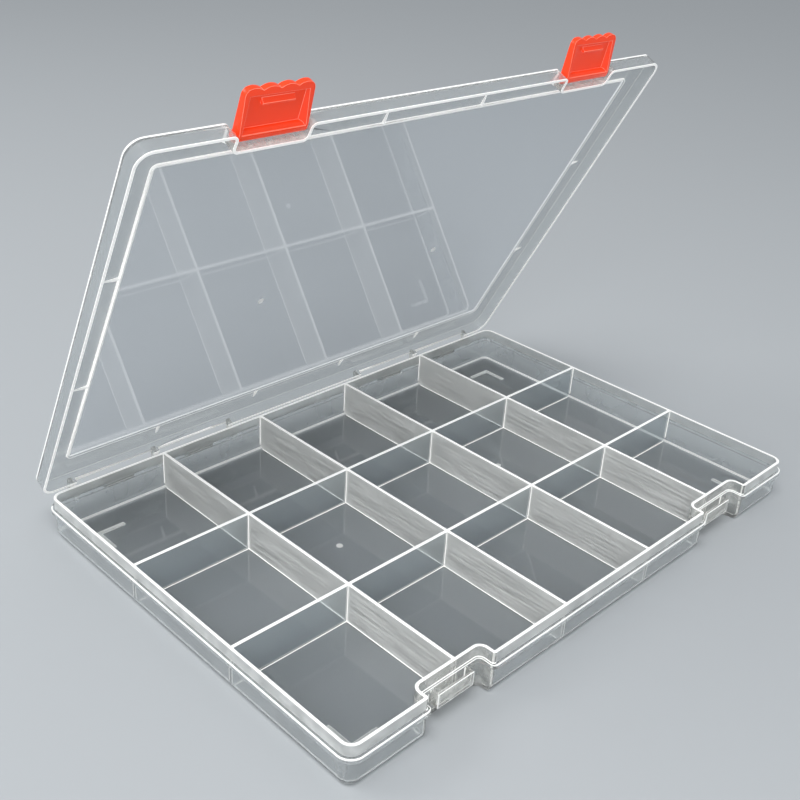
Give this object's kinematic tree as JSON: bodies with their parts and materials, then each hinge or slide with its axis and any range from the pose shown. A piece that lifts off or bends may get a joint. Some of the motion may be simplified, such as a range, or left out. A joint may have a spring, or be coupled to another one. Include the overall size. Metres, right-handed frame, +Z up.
{
  "type": "bead organizer box",
  "caption": "Shallow clear plastic organizer box with fixed compartments in rows, one common recessed lid hinged along the rear edge and swinging coloured latches on the front edge of the lid",
  "frame": {"origin": "middle of the overall box in x and y in the pictured pose, on the plane that the feet stand on", "axes": "+X along the hinge line from left to right seen from the latch side, +Y from the latch side to the hinge side, +Z up"},
  "size_m": [0.2892, 0.2064, 0.2079],
  "materials": {
    "clear_tray": "clear, slightly milky moulded polypropylene",
    "frosted_divider": "the same clear plastic, frosted and faintly streaked",
    "clear_divider": "the same clear plastic, smooth and faintly grey blue",
    "clear_lid": "clear glossy moulded plastic",
    "latch_red": "translucent orange red plastic"
  },
  "bodies": {
    "tray": {"tray_shell": "clear_tray", "long_divider_1": "frosted_divider", "long_divider_2": "frosted_divider", "long_divider_3": "frosted_divider", "long_divider_4": "frosted_divider", "cross_divider_front": "clear_divider", "cross_divider_rear": "clear_divider"},
    "lid": {"lid": "clear_lid"},
    "latch_left": {"latch_left": "latch_red"},
    "latch_right": {"latch_right": "latch_red"}
  },
  "joints": [
    {"name": "lid_hinge", "type": "hinge", "parent": "tray", "child": "lid", "pos_m": [0, 0.0975, 0.0135], "axis": [-1, 0, 0], "range_deg": [-61.8, 118.2]},
    {"name": "latch_left_hinge", "type": "hinge", "parent": "lid", "child": "latch_left", "pos_m": [-0.089, 0.00848, 0.1901], "axis": [-1, 0, 0], "range_deg": [-97, 13]},
    {"name": "latch_right_hinge", "type": "hinge", "parent": "lid", "child": "latch_right", "pos_m": [0.089, 0.00848, 0.1901], "axis": [-1, 0, 0], "range_deg": [-105, 5]}
  ]
}
